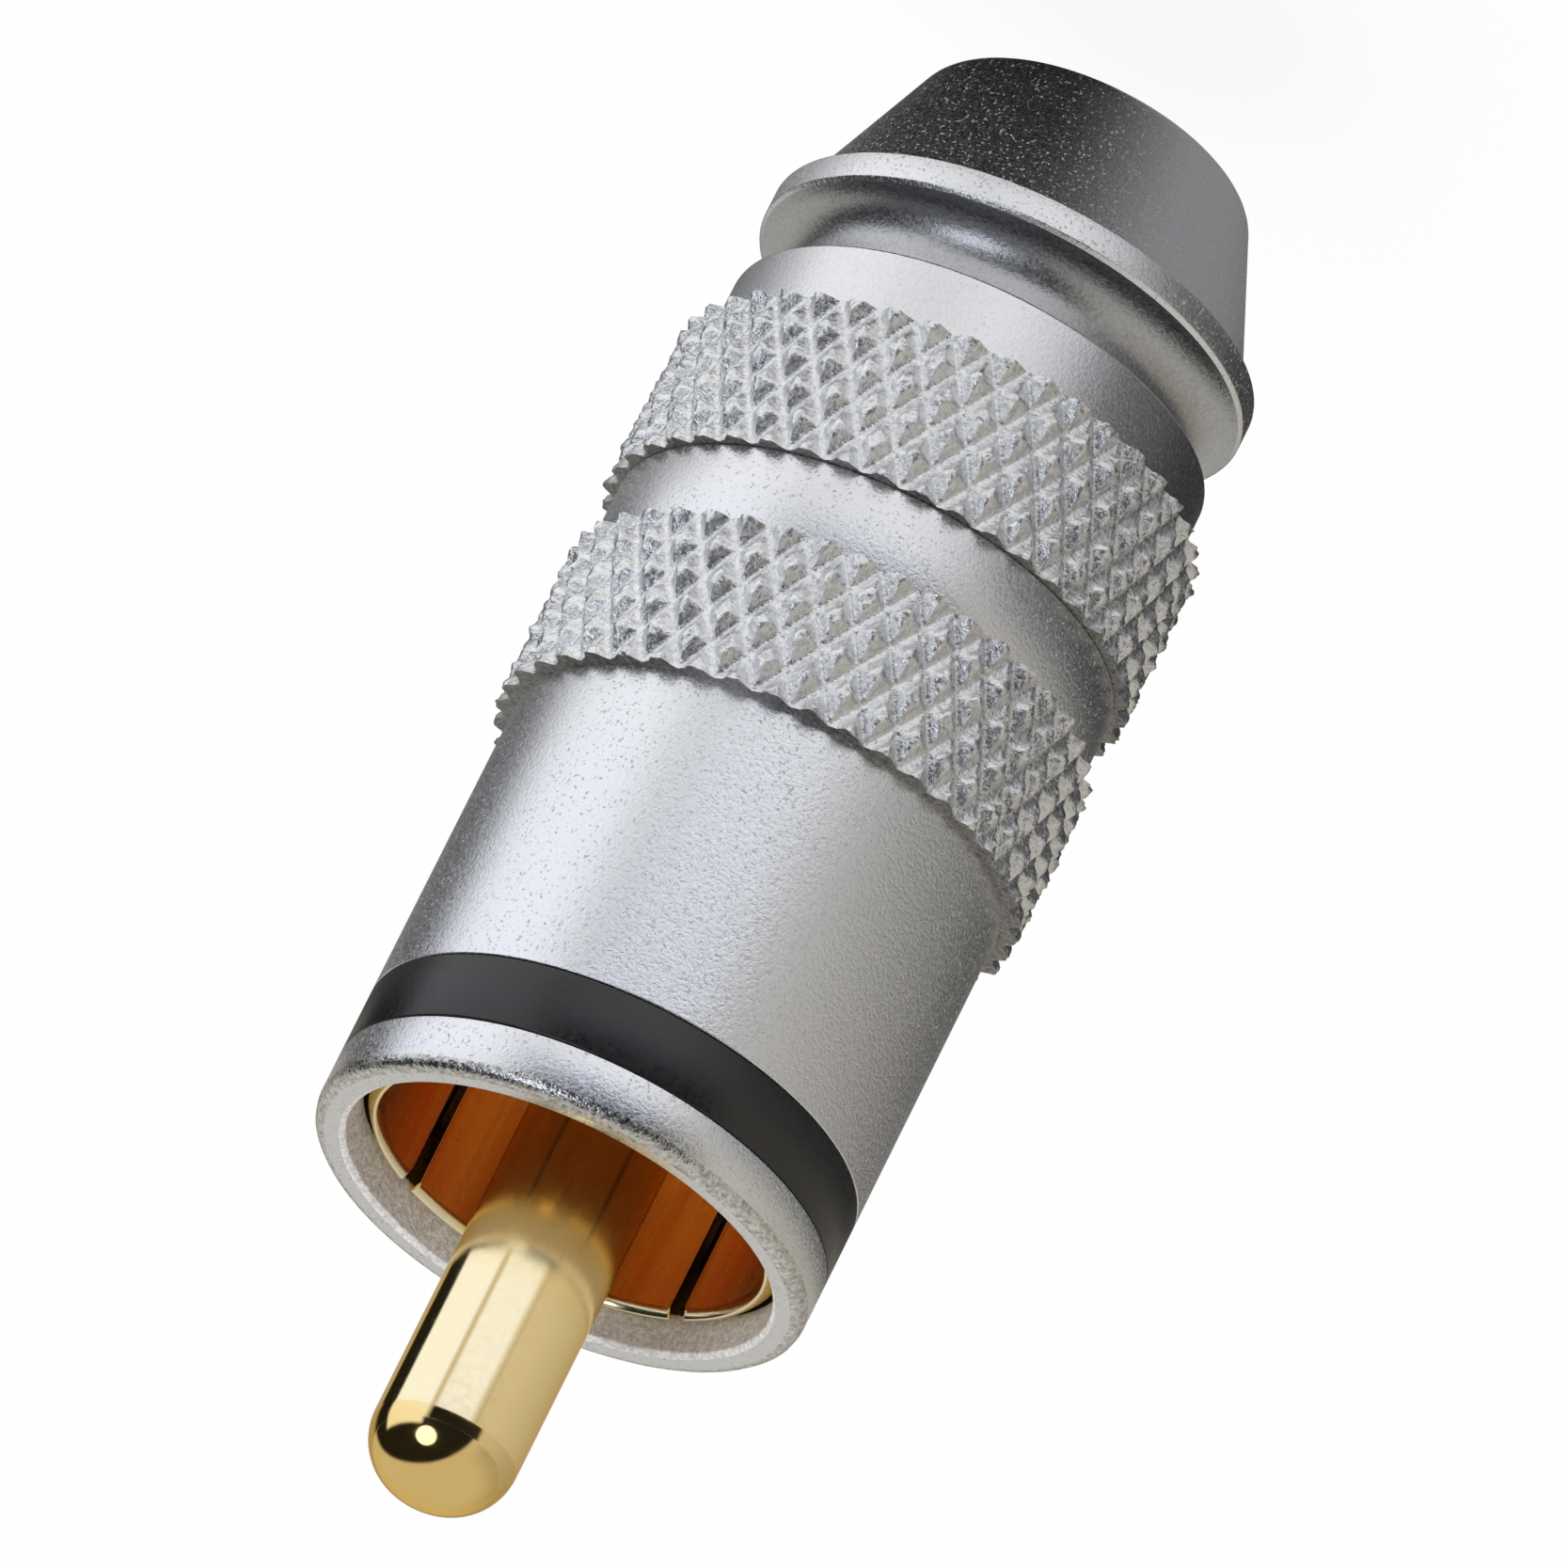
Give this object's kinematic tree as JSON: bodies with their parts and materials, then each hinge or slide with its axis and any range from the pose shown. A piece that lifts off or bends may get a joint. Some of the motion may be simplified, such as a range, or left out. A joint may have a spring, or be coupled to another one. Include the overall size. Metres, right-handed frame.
{
  "type": "phono plug",
  "caption": "Locking phono plug with a long centre pin in a slotted ground collar, a knurled screw sleeve with a colour ring, and a screwed tail that clamps the cable.",
  "frame": {"origin": "centre of the tail's end face, where the cable goes in", "axes": "+Z along the plug's axis, from the tail to the tip of the centre pin; +X to one side, between two slots of the ground collar"},
  "size_m": [0.012, 0.012, 0.0342],
  "materials": {
    "gold": "polished gold plate on brass",
    "satin_nickel": "satin nickel plate, fine bead-blasted grain",
    "black_ring": "dull black band",
    "black_rubber": "matt",
    "spring_steel": "plain spring steel",
    "white_insulator": "waxy white",
    "clear_sleeving": "thin flexible sleeving",
    "grey_plastic": "moulded, satin"
  },
  "bodies": {
    "body": {"ground_body": "gold", "center_pin": "gold", "front_insulator": "white_insulator", "rear_insulator": "white_insulator", "holding_ring": "gold", "ground_tag": "gold", "friction_ring": "black_rubber", "stop_ring": "spring_steel", "insulating_tube": "clear_sleeving", "cable_clamp": "grey_plastic"},
    "ring_carrier": {"colour_ring": "black_ring"},
    "sleeve": {"locking_sleeve": "satin_nickel"},
    "cone_carrier": {"clamp_cone": "satin_nickel"},
    "tail": {"tail_shell": "satin_nickel"}
  },
  "joints": [
    {"name": "sleeve_travel", "type": "slide", "parent": "body", "child": "ring_carrier", "axis": [0, 0, 1], "range_m": [0, 0.0006]},
    {"name": "sleeve_turn", "type": "hinge", "parent": "ring_carrier", "child": "sleeve", "pos_m": [0, 0, 0.0168], "axis": [0, 0, 1], "range_deg": [0, 288]},
    {"name": "tail_travel", "type": "slide", "parent": "body", "child": "cone_carrier", "axis": [0, 0, 1], "range_m": [-0.00345, 0]},
    {"name": "tail_turn", "type": "hinge", "parent": "cone_carrier", "child": "tail", "pos_m": [0, 0, 0.002], "axis": [0, 0, 1], "range_deg": [-1656, 0]}
  ],
  "couplings": [
    {"joint": "sleeve_turn", "follows": "sleeve_travel", "rad_per_m": 8377.6},
    {"joint": "tail_turn", "follows": "tail_travel", "rad_per_m": 8377.6}
  ]
}
